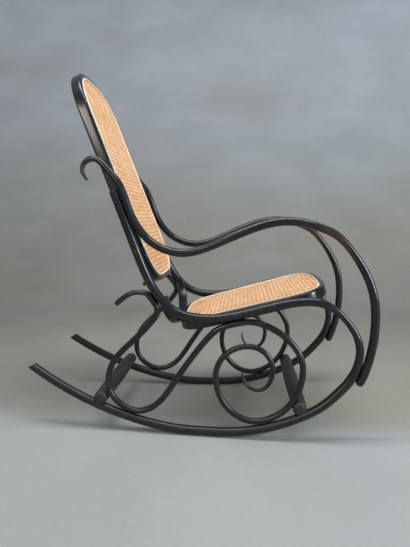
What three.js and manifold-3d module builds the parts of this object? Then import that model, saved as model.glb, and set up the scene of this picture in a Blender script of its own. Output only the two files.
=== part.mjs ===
// A bentwood rocking chair, in millimetres, +Z up, the sitter facing -Y.
// Each side is three rods bent in one plane: the side rod (upright, seat rail, front bend and
// runner in one length), the arm rod and the scroll rod. The two planes close in towards the rear.
// In a side plane, y runs rearwards from the arm's foremost point and z up from the runner's lowest
// centre line.
import * as THREE from "three";
import { mergeVertices } from "three/addons/utils/BufferGeometryUtils.js";
import Module from "manifold-3d";

const wasm = await Module();
wasm.setup();

// Overall sizes
const frameDepth = 993; // foremost arm centre line to the runner's rear end
const railRise = 389; // seat rail's highest centre line above the runner's lowest
const armRise = 606; // arm's highest centre line above the runner's lowest
const frontSpan = 464; // between the side planes at the arm's foremost point
const rearSpan = 344; // between the side planes at the runners' rear ends
const backLean = THREE.MathUtils.degToRad(21); // back frame from upright
const seatSlope = THREE.MathUtils.degToRad(15); // seat falling to the rear

// Fits
const clearance = 0.3; // between pieces that touch
const overrun = 4; // a cutting tool past the face that it starts from
const mergeReach = 0.001; // points nearer than this are one

// Rods
const rodRadius = 13;
const armRadius = 12;
const scrollRadius = 9;
const rodSides = 12;
const scrollSides = 8;
const bendStep = THREE.MathUtils.degToRad(12); // turn between two rings of a rod
const longestStep = 130; // distance between two rings of a rod
const uprightLength = 198; // straight top of the side rod
const armSlit = 1.2; // between the arm and the upright where they are closest

// Seat and back frames
const seatDepth = 456; // along its slope
const seatProud = 14; // seat's top above the rail's centre line, at the rail's middle station
const seatHoopHeight = 32;
const seatFrontRadius = 88;
const seatRearRadius = 92;
const seatBow = 20; // front edge, middle ahead of its ends
const backLength = 664; // along its slope
const backDrop = 94; // back frame's foot below the upright's foot
const backHoopDepth = 32;
const backTopRadius = 128;
const backFootRadius = 108;
const hoopThickness = 22;
const hoopRound = 6; // rounding of a hoop's edges
const rebateWidth = 8; // step that the cane lies in
const rebateDepth = 5;
const caneThickness = 2;
const splineWidth = 4.5;

// Bow behind the seat
const bowWidth = 30;
const bowThickness = 12;
const bowRise = 106; // its ends above its trough
const bowLift = 4; // its trough above the seat hoop's underside
const bowRound = 4;

// Stretchers
const stretcherRadius = 21.5;
const stretcherEndRadius = 17;
const stretcherOverhang = 12; // past the runners' centre lines
const stretcherBite = 5.5; // how far a runner sinks into a stretcher's end

// Screws: head and shank radius, head height, and how far the point goes into the second piece
const woodScrew = { head: 3.6, shank: 1.8, sink: 2.2, bite: 16 };
const stoutScrew = { head: 4.4, shank: 2.3, sink: 2.6, bite: 17 };
const bowScrew = { head: 3.6, shank: 1.8, sink: 2.2, bite: 9 };
const hoopScrew = { head: 4, shank: 2, sink: 2.4, bite: 15 };
const seatBolt = { head: 5.5, shank: 2.8, sink: 3 };
const nutRadius = 5.6;
const nutHeight = 4.5;
const boltEnd = 2.5; // bolt past its nut
const screwSides = 6;
const nutSides = 6;

// Shapes of the rods. A row is: share of frameDepth, share of the rise, heading in degrees in a
// square whose sides are those two sizes (0 rearwards, 90 up), share of the rod's radius.
const sideShares = [
  [0.573, 0.941, -114.4, 0.97],
  [0.464, 0.856, 180, 1],
  [0.313, 0.929, 143.8, 1],
  [0.17, 1, 180, 1],
  [0.081, 0.884, -109.4, 1],
  [0.038, 0.65, -90, 1],
  [0.074, 0.397, -71.8, 1],
  [0.158, 0.198, -56.4, 1],
  [0.438, 0, 0, 1],
  [0.5, 0, 0, 1],
  [0.764, 0.136, 42.1, 1],
  [1, 0.45, 60.3, 0.96],
];
const uprightFootShare = [0.657, 1.303];
const uprightTopShare = 0.885; // rod's radius at the upright's top
const armShares = [
  [0.53, 0.855, 180, 0.97],
  [0.395, 0.926, 145.4, 1],
  [0.238, 1, 180, 1],
  [0.132, 0.959, -145.8, 1],
  [0.07, 0.871, -115.1, 1],
  [0.02, 0.724, -101, 1],
  [0, 0.589, -90, 1],
];
const armTopShare = 0.92; // arm's radius beside the upright
// The arm above its dip follows the upright. A row is: share of backLength up the slope from the
// upright's foot, share of it ahead of the touching line, heading from the slope in degrees, and
// share of the arm's radius.
const hookShares = [
  [0.374, -0.122, -19.3, 0.3],
  [0.427, -0.127, 20.7, 0.52],
  [0.45, -0.065, 110.7, 0.72],
  [0.394, -0.027, 161.1, 0.86],
  [0.299, 0, 175.3, armTopShare],
  [0.159, 0.001, 174.1, 0.93],
  [0.034, 0.041, 146.1, 0.95],
];
// The scroll's free stretches lie between its four seats on the side rod.
const hookTopShares = [
  [0.731, 0.936, 114.7, 0.88],
  [0.659, 1.039, 180, 0.82],
];
const rearLoopShares = [
  [0.604, 0.907, -90, 1],
  [0.615, 0.841, -72.4, 1],
  [0.666, 0.699, -67.9, 1],
  [0.734, 0.522, -74.1, 1],
  [0.756, 0.342, -90, 1],
];
const diagonalShares = [
  [0.605, 0.198, 112.8, 1],
  [0.545, 0.409, 105, 1],
  [0.444, 0.748, 110.7, 1],
];
const frontLoopShares = [
  [0.249, 0.756, -119.2, 1],
  [0.191, 0.496, -90, 1],
];
const spiralShares = [
  [0.389, 0.188, 67.9, 1],
  [0.431, 0.409, 90, 0.95],
  [0.34, 0.661, 180, 0.89],
  [0.273, 0.491, -90, 0.8],
  [0.315, 0.337, 0, 0.6],
  [0.358, 0.488, 93, 0.28],
];
// Places on the side rod, counted in its stations: 0 is its top, 1 the upright's foot.
const hookSeatShare = 1.68;
const railSeatShare = 3.62;
const frontSeatShare = 9.56;
const rearSeatShare = 11.73;
const armSeatFromShare = 7.1;
const armSeatToShare = 7.9;
const armScrewShares = [7.3, 7.72];
const seatBoltShares = [3.4, 4.66];
const seatBehindShare = 0.54; // part of the seat behind the rail's middle station
const railMiddleShare = 4;
const backScrewShares = [0.06, 0.24]; // of backLength, up from the upright's foot
const uprightScrewShare = 0.262; // of backLength, up from the upright's foot
const bowScrewShare = 1.82;
const frontStretcherShare = 9.1;
const rearStretcherShare = 12.1;
const stretcherSwellShares = [0, 0.12, 0.3, 0.5, 0.7, 0.88, 1];
const stretcherNoseShare = 0.5; // length of a stretcher's round end, of its radius there
const screwPointShare = 2; // length of a screw's point, of its shank's radius
const frontArcShare = 0.96; // part of the seat's front edge between its corners that is one arc
const noseShares = [
  [0.5, 0.87],
  [0.87, 0.5],
]; // a rounded end: distance and size as shares of the radius
const scarf = THREE.MathUtils.degToRad(32); // slanting cut at a runner's rear end, from square

const splay = Math.asin((frontSpan - rearSpan) / 2 / frameDepth);
const degrees = THREE.MathUtils.degToRad;
const lacquer = { color: 0x211e1c, roughness: 0.32, metalness: 0 };
const stain = { color: 0x3b312a, roughness: 0.62, metalness: 0 };
const cane = { color: 0xe0b183, roughness: 0.72, metalness: 0 };
const reed = { color: 0xe8c59a, roughness: 0.6, metalness: 0 };
const steel = { color: 0x4a4642, roughness: 0.42, metalness: 0.9 };

// A closed skin over rings of points; an open row of rings gets flat ends.
function skin(rings, closed = false) {
  const count = rings[0].length;
  const spans = closed ? rings.length : rings.length - 1;
  const index = [];
  for (let i = 0; i < spans; i += 1) {
    const here = i * count;
    const next = ((i + 1) % rings.length) * count;
    for (let j = 0; j < count; j += 1) {
      const k = (j + 1) % count;
      index.push(here + j, here + k, next + k, here + j, next + k, next + j);
    }
  }
  if (!closed) {
    const last = spans * count;
    for (let j = 1; j < count - 1; j += 1) {
      index.push(0, j + 1, j, last, last + j, last + j + 1);
    }
  }
  const points = rings.flat();
  let volume = 0;
  for (let i = 0; i < index.length; i += 3) {
    const [a, b, c] = [points[index[i]], points[index[i + 1]], points[index[i + 2]]];
    volume += a.dot(b.clone().cross(c));
  }
  if (volume < 0) index.reverse();
  const geometry = new THREE.BufferGeometry();
  const values = points.flatMap((point) => point.toArray());
  geometry.setAttribute("position", new THREE.Float32BufferAttribute(values, 3));
  geometry.setIndex(index);
  geometry.computeVertexNormals();
  return geometry;
}

function toSolid(geometry) {
  const bare = geometry.clone();
  bare.deleteAttribute("normal");
  bare.deleteAttribute("uv");
  const merged = mergeVertices(bare, mergeReach);
  const vertProperties = merged.getAttribute("position").array;
  const triVerts = new Uint32Array(merged.getIndex().array);
  return new wasm.Manifold(new wasm.Mesh({ numProp: 3, vertProperties, triVerts }));
}

// The geometry less each tool
function cut(geometry, tools) {
  if (tools.length === 0) return geometry;
  let solid = toSolid(geometry);
  for (const tool of tools) solid = solid.subtract(toSolid(tool));
  const mesh = solid.getMesh();
  const result = new THREE.BufferGeometry();
  const attribute = new THREE.Float32BufferAttribute(mesh.vertProperties, mesh.numProp);
  result.setAttribute("position", attribute);
  result.setIndex([...mesh.triVerts]);
  return result;
}

function piece(name, geometry, look) {
  const material = new THREE.MeshStandardMaterial({ ...look, flatShading: true });
  const mesh = new THREE.Mesh(geometry, material);
  mesh.name = name;
  return mesh;
}

// Rods in a side plane: stations and rings are { y, z, heading, radius, place }

function station([depthShare, riseShare, heading, radiusShare], rise, radius) {
  const ahead = Math.cos(degrees(heading)) * frameDepth;
  const up = Math.sin(degrees(heading)) * rise;
  return {
    y: depthShare * frameDepth,
    z: riseShare * rise,
    heading: Math.atan2(up, ahead),
    radius: radiusShare * radius,
  };
}

// Rings along one cubic curve from station to station. Its handles are those of a circular arc, so
// a stretch between two stations of one circle is round.
function bend(stations) {
  const rings = [];
  for (let i = 0; i + 1 < stations.length; i += 1) {
    const [from, to] = [stations[i], stations[i + 1]];
    const turn = Math.atan2(Math.sin(to.heading - from.heading), Math.cos(to.heading - from.heading));
    const chord = Math.hypot(to.y - from.y, to.z - from.z);
    const handle = chord / (3 * Math.cos(turn / 4) ** 2);
    const curve = new THREE.CubicBezierCurve(
      new THREE.Vector2(from.y, from.z),
      new THREE.Vector2(from.y + handle * Math.cos(from.heading), from.z + handle * Math.sin(from.heading)),
      new THREE.Vector2(to.y - handle * Math.cos(to.heading), to.z - handle * Math.sin(to.heading)),
      new THREE.Vector2(to.y, to.z),
    );
    const steps = Math.max(1, Math.ceil(Math.abs(turn) / bendStep), Math.ceil(chord / longestStep));
    const first = i === 0 ? 0 : 1;
    for (let k = first; k <= steps; k += 1) {
      const share = k / steps;
      const point = curve.getPoint(share);
      const tangent = curve.getTangent(share);
      rings.push({
        y: point.x,
        z: point.y,
        heading: Math.atan2(tangent.y, tangent.x),
        radius: from.radius + (to.radius - from.radius) * share,
        place: i + share,
      });
    }
  }
  return rings;
}

// A place on a rod, on the straight chord between two of its rings
function along(rings, place) {
  const k = rings.findIndex((ring) => ring.place > place);
  const [from, to] = [rings[k - 1], rings[k]];
  const share = (place - from.place) / (to.place - from.place);
  return {
    y: from.y + (to.y - from.y) * share,
    z: from.z + (to.z - from.z) * share,
    heading: Math.atan2(to.z - from.z, to.y - from.y),
    radius: from.radius + (to.radius - from.radius) * share,
  };
}

// A point moved to the left of its heading
function aside(at, distance) {
  return {
    ...at,
    y: at.y - distance * Math.sin(at.heading),
    z: at.z + distance * Math.cos(at.heading),
  };
}

// A station seated beside the side rod, on its left or, with side -1, on its right
function seated(at, radius, side = 1) {
  return { ...aside(at, side * (at.radius + radius + clearance)), radius };
}

function ringPoints({ y, z, heading, radius }, sides, skew = 0) {
  const points = [];
  const corner = radius / Math.cos(Math.PI / sides);
  for (let j = 0; j < sides; j += 1) {
    const angle = ((j + 0.5) / sides) * 2 * Math.PI;
    const across = corner * Math.cos(angle);
    const left = corner * Math.sin(angle);
    const on = left * Math.tan(skew);
    points.push(
      new THREE.Vector3(
        across,
        y - left * Math.sin(heading) + on * Math.cos(heading),
        z + left * Math.cos(heading) + on * Math.sin(heading),
      ),
    );
  }
  return points;
}

// A round nose past a rod's end; forward is 1 past its last ring and -1 before its first
function nose(ring, forward) {
  return noseShares.map(([onShare, sizeShare]) => ({
    ...ring,
    y: ring.y + forward * onShare * ring.radius * Math.cos(ring.heading),
    z: ring.z + forward * onShare * ring.radius * Math.sin(ring.heading),
    radius: sizeShare * ring.radius,
  }));
}

// Lines of the side plane

const footPoint = { y: uprightFootShare[0] * frameDepth, z: uprightFootShare[1] * railRise };

// A point in a side plane, up the back's slope from the upright's foot and ahead of its centre line
function onBack(up, ahead) {
  return {
    y: footPoint.y + up * Math.sin(backLean) - ahead * Math.cos(backLean),
    z: footPoint.z + up * Math.cos(backLean) + ahead * Math.sin(backLean),
  };
}

const downSlope = -Math.PI / 2 - backLean;
const upSlope = Math.PI / 2 - backLean;

const sideRings = bend([
  { ...onBack(uprightLength, 0), heading: downSlope, radius: uprightTopShare * rodRadius },
  { ...footPoint, heading: downSlope, radius: rodRadius },
  ...sideShares.map((row) => station(row, railRise, rodRadius)),
]);

const armTouch = uprightTopShare * rodRadius + armTopShare * armRadius + armSlit;
const armSeatRings = sideRings
  .filter((ring) => ring.place > armSeatFromShare && ring.place < armSeatToShare)
  .map((ring) => seated(ring, armRadius, -1));
const armRings = [
  ...bend([
    ...hookShares.map(([upShare, aheadShare, heading, radiusShare]) => ({
      ...onBack(upShare * backLength, armTouch + aheadShare * backLength),
      heading: upSlope + degrees(heading),
      radius: radiusShare * armRadius,
    })),
    ...armShares.map((row) => station(row, armRise, armRadius)),
    armSeatRings[0],
  ]),
  ...armSeatRings.slice(1),
];

// Seats of the scroll on the side rod, in the order in which the scroll meets them
const hookSeat = along(sideRings, hookSeatShare);
const rearSeat = along(sideRings, rearSeatShare);
const railSeat = along(sideRings, railSeatShare);
const frontSeat = along(sideRings, frontSeatShare);
const scrollRow = (row) => station(row, railRise, scrollRadius);
const rearSeated = seated(rearSeat, scrollRadius);
const scrollRings = bend([
  ...hookTopShares.map(scrollRow),
  seated(hookSeat, scrollRadius),
  ...rearLoopShares.map(scrollRow),
  { ...rearSeated, heading: rearSeated.heading + Math.PI },
  ...diagonalShares.map(scrollRow),
  seated(railSeat, scrollRadius),
  ...frontLoopShares.map(scrollRow),
  seated(frontSeat, scrollRadius),
  ...spiralShares.map(scrollRow),
]);

const sideSkin = skin(
  sideRings.map((ring, i) => {
    const slant = i === sideRings.length - 1 ? -scarf : 0;
    return ringPoints(ring, rodSides, slant);
  }),
);
const armSkin = skin(
  [...armRings, ...nose(armRings.at(-1), 1)].map((ring) => ringPoints(ring, rodSides)),
);
const scrollSkin = skin(
  [...nose(scrollRings[0], -1).reverse(), ...scrollRings].map((ring) => ringPoints(ring, scrollSides)),
);

// The side planes in the chair

function sideFrame(side) {
  const frame = new THREE.Group();
  frame.position.x = (side * frontSpan) / 2;
  frame.rotation.z = side * splay;
  frame.updateMatrix();
  return frame;
}

// Half the width between the side rods' inner faces, at a distance y along a side plane
function innerHalf(y) {
  return frontSpan / 2 - y * Math.sin(splay) - rodRadius / Math.cos(splay);
}

// Hoops: closed outlines with round corners, and rings of a section carried round them

// Points and outward directions round a convex outline of corners [x, y, radius]
function roundedLoop(corners) {
  const loop = [];
  corners.forEach(([x, y, radius], i) => {
    const here = new THREE.Vector2(x, y);
    const before = new THREE.Vector2(...corners.at(i - 1)).sub(here).normalize();
    const after = new THREE.Vector2(...corners[(i + 1) % corners.length]).sub(here).normalize();
    const half = Math.acos(before.dot(after)) / 2;
    const middle = before.clone().add(after).normalize();
    const centre = here.clone().addScaledVector(middle, radius / Math.sin(half));
    const turn = Math.PI - 2 * half;
    const steps = Math.max(2, Math.ceil(turn / bendStep));
    const from = here.clone().addScaledVector(before, radius / Math.tan(half)).sub(centre);
    const sense = Math.sign(before.cross(after)) * -1;
    for (let k = 0; k <= steps; k += 1) {
      const out = from.clone().rotateAround(new THREE.Vector2(), sense * (k / steps) * turn).normalize();
      loop.push({ point: centre.clone().addScaledVector(out, radius), out });
    }
  });
  return loop;
}

// Section of a hoop, [from its outer side inwards, height], with the cane's rebate at its inner top
function hoopSection(height) {
  const step = hoopThickness - rebateWidth;
  const round = hoopRound * Math.SQRT1_2;
  const dip = hoopRound - round;
  return [
    [hoopRound, 0],
    [dip, dip],
    [0, hoopRound],
    [0, height - hoopRound],
    [dip, height - dip],
    [hoopRound, height],
    [step, height],
    [step, height - rebateDepth],
    [hoopThickness, height - rebateDepth],
    [hoopThickness, hoopRound],
    [hoopThickness - hoopRound, 0],
  ];
}

function carried(loop, section) {
  return loop.map(({ point, out }) =>
    section.map(([inward, height]) => {
      const at = point.clone().addScaledVector(out, -inward);
      return new THREE.Vector3(at.x, at.y, height);
    }),
  );
}

// A plate that fills a loop drawn in by a distance
function plate(loop, inward, bottom, top) {
  const outline = (height) => carried(loop, [[inward, height]]).map(([at]) => at);
  return skin([outline(bottom), outline(top)]);
}

// The hoop, its cane and its spline, flat, with their tops at the section's height
function caneSet(loop, height) {
  const edge = hoopThickness - rebateWidth + clearance;
  const floor = height - rebateDepth + clearance;
  const splineSection = [
    [edge, floor + caneThickness + clearance],
    [edge + splineWidth, floor + caneThickness + clearance],
    [edge + splineWidth, height - clearance],
    [edge + splineWidth / 2, height],
    [edge, height - clearance],
  ];
  return {
    hoop: skin(carried(loop, hoopSection(height)), true),
    cane: plate(loop, edge, floor, floor + caneThickness),
    spline: skin(carried(loop, splineSection), true),
  };
}

// Seat, drawn flat: x across, y down its slope, and z up to its top face
const railMiddle = along(sideRings, railMiddleShare);
const seatOrigin = { y: railMiddle.y, z: railMiddle.z + seatProud };
const seatBehind = seatDepth * seatBehindShare;
const seatAhead = seatDepth - seatBehind;

// Half width between the rods at a distance down the seat's slope and a height in its frame
function seatHalf(down, height = seatHoopHeight) {
  const rearwards = down * Math.cos(seatSlope) + (height - seatHoopHeight) * Math.sin(seatSlope);
  return innerHalf(seatOrigin.y + rearwards / Math.cos(splay)) - clearance;
}

function seatLoop() {
  const [front, rear] = [seatBow - seatAhead, seatBehind];
  const half = seatHalf(front);
  const slant = Math.atan2(seatBow, half);
  const cornerReach = seatFrontRadius * Math.tan((Math.PI / 2 - slant + splay) / 2);
  const arcReach = frontArcShare * (Math.hypot(half, seatBow) - cornerReach);
  return roundedLoop([
    [-half, front, seatFrontRadius],
    [0, -seatAhead, arcReach / Math.tan(slant)],
    [half, front, seatFrontRadius],
    [seatHalf(rear), rear, seatRearRadius],
    [-seatHalf(rear), rear, seatRearRadius],
  ]);
}

// Back, drawn flat: x across, y up its slope from the upright's foot, and z to its front face
function backHalf(up) {
  return innerHalf(onBack(up, backHoopDepth / 2 - rodRadius).y) - 2 * clearance;
}

function backLoop() {
  const [foot, top] = [-backDrop, backLength - backDrop];
  return roundedLoop([
    [-backHalf(foot), foot, backFootRadius],
    [backHalf(foot), foot, backFootRadius],
    [backHalf(top), top, backTopRadius],
    [-backHalf(top), top, backTopRadius],
  ]);
}

// Frames that carry the seat and the back in the chair
function placedFrame(at, tilt, drop) {
  const frame = new THREE.Group();
  frame.position.set(0, at.y * Math.cos(splay), at.z);
  frame.rotation.x = tilt;
  frame.translateZ(-drop);
  frame.updateMatrix();
  return frame;
}

const seatFrame = placedFrame(seatOrigin, -seatSlope, seatHoopHeight);
const backFrame = placedFrame(onBack(0, -rodRadius), Math.PI / 2 - backLean, 0);

// Bow: a strap bent to half an ellipse, drawn in the seat's frame. Its front edge lies on the
// seat's rear and its ends lie on the uprights' inner faces.
function bowSkin() {
  const middle = seatBehind + clearance + bowWidth / 2;
  const trough = bowLift + bowThickness / 2;
  const half = seatHalf(middle, trough + bowRise) - bowThickness / 2;
  const [thick, wide] = [bowThickness / 2, bowWidth / 2];
  const section = [
    [-thick, bowRound - wide],
    [bowRound - thick, -wide],
    [thick - bowRound, -wide],
    [thick, bowRound - wide],
    [thick, wide - bowRound],
    [thick - bowRound, wide],
    [bowRound - thick, wide],
    [-thick, wide - bowRound],
  ];
  const steps = Math.ceil(Math.PI / bendStep);
  const rings = Array.from({ length: steps + 1 }, (_, k) => {
    const angle = Math.PI + (k / steps) * Math.PI;
    const out = new THREE.Vector2(Math.cos(angle) * bowRise, Math.sin(angle) * half).normalize();
    const x = half * Math.cos(angle);
    const z = trough + bowRise + bowRise * Math.sin(angle);
    return section.map(([outwards, back]) => {
      const narrowing = seatHalf(middle + back, z) / seatHalf(middle, z);
      const across = (x + outwards * out.x) * narrowing;
      return new THREE.Vector3(across, middle + back, z + outwards * out.y);
    });
  });
  return skin(rings);
}

// Stretcher: a turned bar, thickest in its middle, that sits across the runners
function stretcherSkin(length) {
  const half = length / 2;
  const swell = (share) => {
    const rise = 1 - (2 * share - 1) ** 2;
    return stretcherEndRadius + (stretcherRadius - stretcherEndRadius) * rise;
  };
  const reach = stretcherNoseShare * stretcherEndRadius;
  const [near, far] = noseShares;
  const leftEnd = [
    [0, -half],
    [far[1] * stretcherEndRadius, -half],
    [near[1] * stretcherEndRadius, (far[0] - near[0]) * reach - half],
  ];
  const rightEnd = leftEnd.map(([radius, x]) => [radius, -x]).reverse();
  const across = (share) => (share - 0.5) * (length - 2 * reach);
  const body = stretcherSwellShares.map((share) => [swell(share), across(share)]);
  const profile = [...leftEnd, ...body, ...rightEnd];
  const points = profile.map(([radius, x]) => new THREE.Vector2(radius, x));
  return new THREE.LatheGeometry(points, rodSides).rotateZ(-Math.PI / 2);
}

// Fasteners: turned about y, head at the origin, point down

function screwSkin({ head, shank, sink }, length) {
  const profile = [
    [0, -length],
    [shank, screwPointShare * shank - length],
    [shank, -sink],
    [head, 0],
    [0, 0],
  ];
  return new THREE.LatheGeometry(profile.map((p) => new THREE.Vector2(...p)), screwSides);
}

function screwHole({ head, shank, sink }, length) {
  const profile = [
    [0, -length - clearance],
    [shank + clearance, -length - clearance],
    [shank + clearance, -sink],
    [head + clearance, 0],
    [head + clearance, overrun],
    [0, overrun],
  ];
  return new THREE.LatheGeometry(profile.map((p) => new THREE.Vector2(...p)), screwSides);
}

// A bolt has the same shank from head to end
function boltSkin({ head, shank, sink }, length) {
  const profile = [
    [0, -length],
    [shank, -length],
    [shank, -sink],
    [head, 0],
    [0, 0],
  ];
  return new THREE.LatheGeometry(profile.map((p) => new THREE.Vector2(...p)), screwSides);
}

function nutSkin({ shank }) {
  const bore = (shank + clearance) / Math.cos(Math.PI / nutSides);
  const profile = [
    [bore, 0],
    [nutRadius, 0],
    [nutRadius, nutHeight],
    [bore, nutHeight],
    [bore, 0],
  ];
  return new THREE.LatheGeometry(profile.map((p) => new THREE.Vector2(...p)), nutSides);
}

// A matrix that puts a fastener's head at a point with its shank along a direction
function driven(at, direction) {
  const turn = new THREE.Quaternion().setFromUnitVectors(new THREE.Vector3(0, -1, 0), direction);
  return new THREE.Matrix4().compose(at, turn, new THREE.Vector3(1, 1, 1));
}

// A fastener's record: its piece, its hole and the pieces that the hole is cut in
function fastener(name, kind, length, at, direction, cuts) {
  const place = driven(at, direction.clone().normalize());
  return { name, kind, place, length, cuts, hole: screwHole(kind, length).applyMatrix4(place) };
}

// A screw across the side plane, from the outside
function acrossPlane(side, name, kind, { y, z, radius }, length, cuts) {
  const inwards = new THREE.Vector3(-side, 0, 0);
  return fastener(name, kind, length, new THREE.Vector3(side * radius, y, z), inwards, cuts);
}

// A screw in the side plane, from a ring's face on the left (1) or right (-1) to its other side
function inPlane(name, kind, at, face, length, cuts) {
  const head = aside(at, face * at.radius);
  const through = aside(at, -face * at.radius);
  const direction = new THREE.Vector3(0, through.y - head.y, through.z - head.z);
  return fastener(name, kind, length, new THREE.Vector3(0, head.y, head.z), direction, cuts);
}

function stretcherAt(place) {
  const seat = along(sideRings, place);
  return { seat, centre: aside(seat, rodRadius + stretcherEndRadius - stretcherBite) };
}

const stretchers = {
  front_stretcher: stretcherAt(frontStretcherShare),
  rear_stretcher: stretcherAt(rearStretcherShare),
};

// Every fastener of one side, in its side plane
function sideFasteners(side, label) {
  const list = [];
  seatBoltShares.forEach((place, i) => {
    const at = along(sideRings, place);
    const length = 2 * rodRadius + hoopThickness + 4 * clearance + nutHeight + boltEnd;
    const name = `${label}_${["rear", "front"][i]}_seat_bolt`;
    list.push(acrossPlane(side, name, seatBolt, at, length, ["side_rod", "seat_hoop"]));
  });
  backScrewShares.forEach((share, i) => {
    const up = share * backLength;
    const radius = rodRadius + ((uprightTopShare - 1) * rodRadius * up) / uprightLength;
    const at = { ...onBack(up, 0), radius };
    const name = `${label}_${["lower", "upper"][i]}_back_screw`;
    const length = 2 * rodRadius + hoopScrew.bite;
    list.push(acrossPlane(side, name, hoopScrew, at, length, ["side_rod", "back_hoop"]));
  });
  armScrewShares.forEach((place, i) => {
    const which = ["upper", "lower"][i];
    const length = 2 * rodRadius + woodScrew.bite;
    const at = along(sideRings, place);
    list.push(inPlane(`${label}_${which}_arm_screw`, woodScrew, at, 1, length, ["side_rod", "arm_rod"]));
  });
  const armTop = { ...onBack(uprightScrewShare * backLength, armTouch), heading: downSlope };
  const armTopRadius = armTopShare * armRadius;
  list.push(
    inPlane(
      `${label}_upright_screw`,
      woodScrew,
      { ...armTop, radius: armTopRadius },
      -1,
      2 * armTopRadius + woodScrew.bite,
      ["arm_rod", "side_rod"],
    ),
  );
  const scrollLength = 2 * scrollRadius + woodScrew.bite;
  const scrollSeats = {
    hook: hookSeat,
    rear_runner: rearSeat,
    rail: railSeat,
    front_runner: frontSeat,
  };
  for (const [which, seat] of Object.entries(scrollSeats)) {
    const at = seated(seat, scrollRadius);
    const name = `${label}_${which}_screw`;
    list.push(inPlane(name, woodScrew, at, 1, scrollLength, ["scroll_rod", "side_rod"]));
  }
  const bowAt = along(sideRings, bowScrewShare);
  const bowLength = 2 * rodRadius + bowScrew.bite;
  list.push(acrossPlane(side, `${label}_bow_screw`, bowScrew, bowAt, bowLength, ["side_rod", "bow"]));
  for (const [name, { seat, centre }] of Object.entries(stretchers)) {
    const at = { ...centre, heading: seat.heading, radius: stretcherEndRadius };
    const length = 2 * stretcherEndRadius + stoutScrew.bite;
    list.push(inPlane(`${label}_${name}_screw`, stoutScrew, at, 1, length, [name, "side_rod"]));
  }
  return list;
}

// The assembly

const chair = new THREE.Group();
const shared = { seat_hoop: [], back_hoop: [], bow: [], front_stretcher: [], rear_stretcher: [] };

function addSide(side, label) {
  const frame = sideFrame(side);
  const fasteners = sideFasteners(side, label);
  const holesOf = (target) => {
    const through = fasteners.filter(({ cuts }) => cuts.includes(target));
    return through.map(({ hole }) => hole);
  };
  frame.add(piece(`${label}_side_rod`, cut(sideSkin, holesOf("side_rod")), lacquer));
  frame.add(piece(`${label}_arm_rod`, cut(armSkin, holesOf("arm_rod")), lacquer));
  frame.add(piece(`${label}_scroll_rod`, cut(scrollSkin, holesOf("scroll_rod")), lacquer));
  for (const { name, kind, place, length } of fasteners) {
    const isBolt = kind === seatBolt;
    const mesh = piece(name, isBolt ? boltSkin(kind, length) : screwSkin(kind, length), steel);
    mesh.applyMatrix4(place);
    frame.add(mesh);
    if (!isBolt) continue;
    const nut = piece(name.replace("bolt", "nut"), nutSkin(kind), steel);
    nut.applyMatrix4(place);
    nut.translateY(boltEnd - length);
    frame.add(nut);
  }
  for (const [target, tools] of Object.entries(shared)) {
    tools.push(...holesOf(target).map((hole) => hole.clone().applyMatrix4(frame.matrix)));
  }
  const loose = (ring) => ringPoints({ ...ring, radius: ring.radius + clearance }, rodSides);
  const saddle = skin(sideRings.map(loose)).applyMatrix4(frame.matrix);
  for (const name of Object.keys(stretchers)) shared[name].push(saddle);
  chair.add(frame);
}

addSide(-1, "right");
addSide(1, "left");

// Tools of the whole chair, brought into a frame that is turned in it
function toolsIn(name, frame) {
  const back = frame.matrix.clone().invert();
  return shared[name].map((tool) => tool.clone().applyMatrix4(back));
}

const seat = caneSet(seatLoop(), seatHoopHeight);
const bowHole = fastener(
  "bow_seat_screw",
  woodScrew,
  bowWidth + woodScrew.bite,
  new THREE.Vector3(0, seatBehind + clearance + bowWidth, bowLift + bowThickness / 2),
  new THREE.Vector3(0, -1, 0),
  [],
);
const seatTools = [...toolsIn("seat_hoop", seatFrame), bowHole.hole];
seatFrame.add(piece("seat_hoop", cut(seat.hoop, seatTools), lacquer));
seatFrame.add(piece("seat_cane", seat.cane, cane));
seatFrame.add(piece("seat_spline", seat.spline, reed));
seatFrame.add(piece("seat_bow", cut(bowSkin(), [...toolsIn("bow", seatFrame), bowHole.hole]), lacquer));
const bowSeatScrew = piece(bowHole.name, screwSkin(bowHole.kind, bowHole.length), steel);
bowSeatScrew.applyMatrix4(bowHole.place);
seatFrame.add(bowSeatScrew);
chair.add(seatFrame);

const back = caneSet(backLoop(), backHoopDepth);
backFrame.add(piece("back_hoop", cut(back.hoop, toolsIn("back_hoop", backFrame)), lacquer));
backFrame.add(piece("back_cane", back.cane, cane));
backFrame.add(piece("back_spline", back.spline, reed));
chair.add(backFrame);

for (const [name, { centre }] of Object.entries(stretchers)) {
  const y = centre.y * Math.cos(splay);
  const span = frontSpan - 2 * centre.y * Math.sin(splay);
  const bar = stretcherSkin(span + 2 * stretcherOverhang).translate(0, y, centre.z);
  chair.add(piece(name, cut(bar, shared[name]), stain));
}

// The chair stands on its runners, centred over the origin
chair.updateMatrixWorld(true);
const box = new THREE.Box3().setFromObject(chair, true);
chair.position.set(-(box.min.x + box.max.x) / 2, -(box.min.y + box.max.y) / 2, -box.min.z);

const rockingChair = new THREE.Group();
rockingChair.add(chair);

export default rockingChair;
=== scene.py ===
from math import acos, asin, atan2, ceil, cos, hypot, pi, radians, sin, tan
import bpy
import numpy as np
from mathutils import Matrix, Vector


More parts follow.
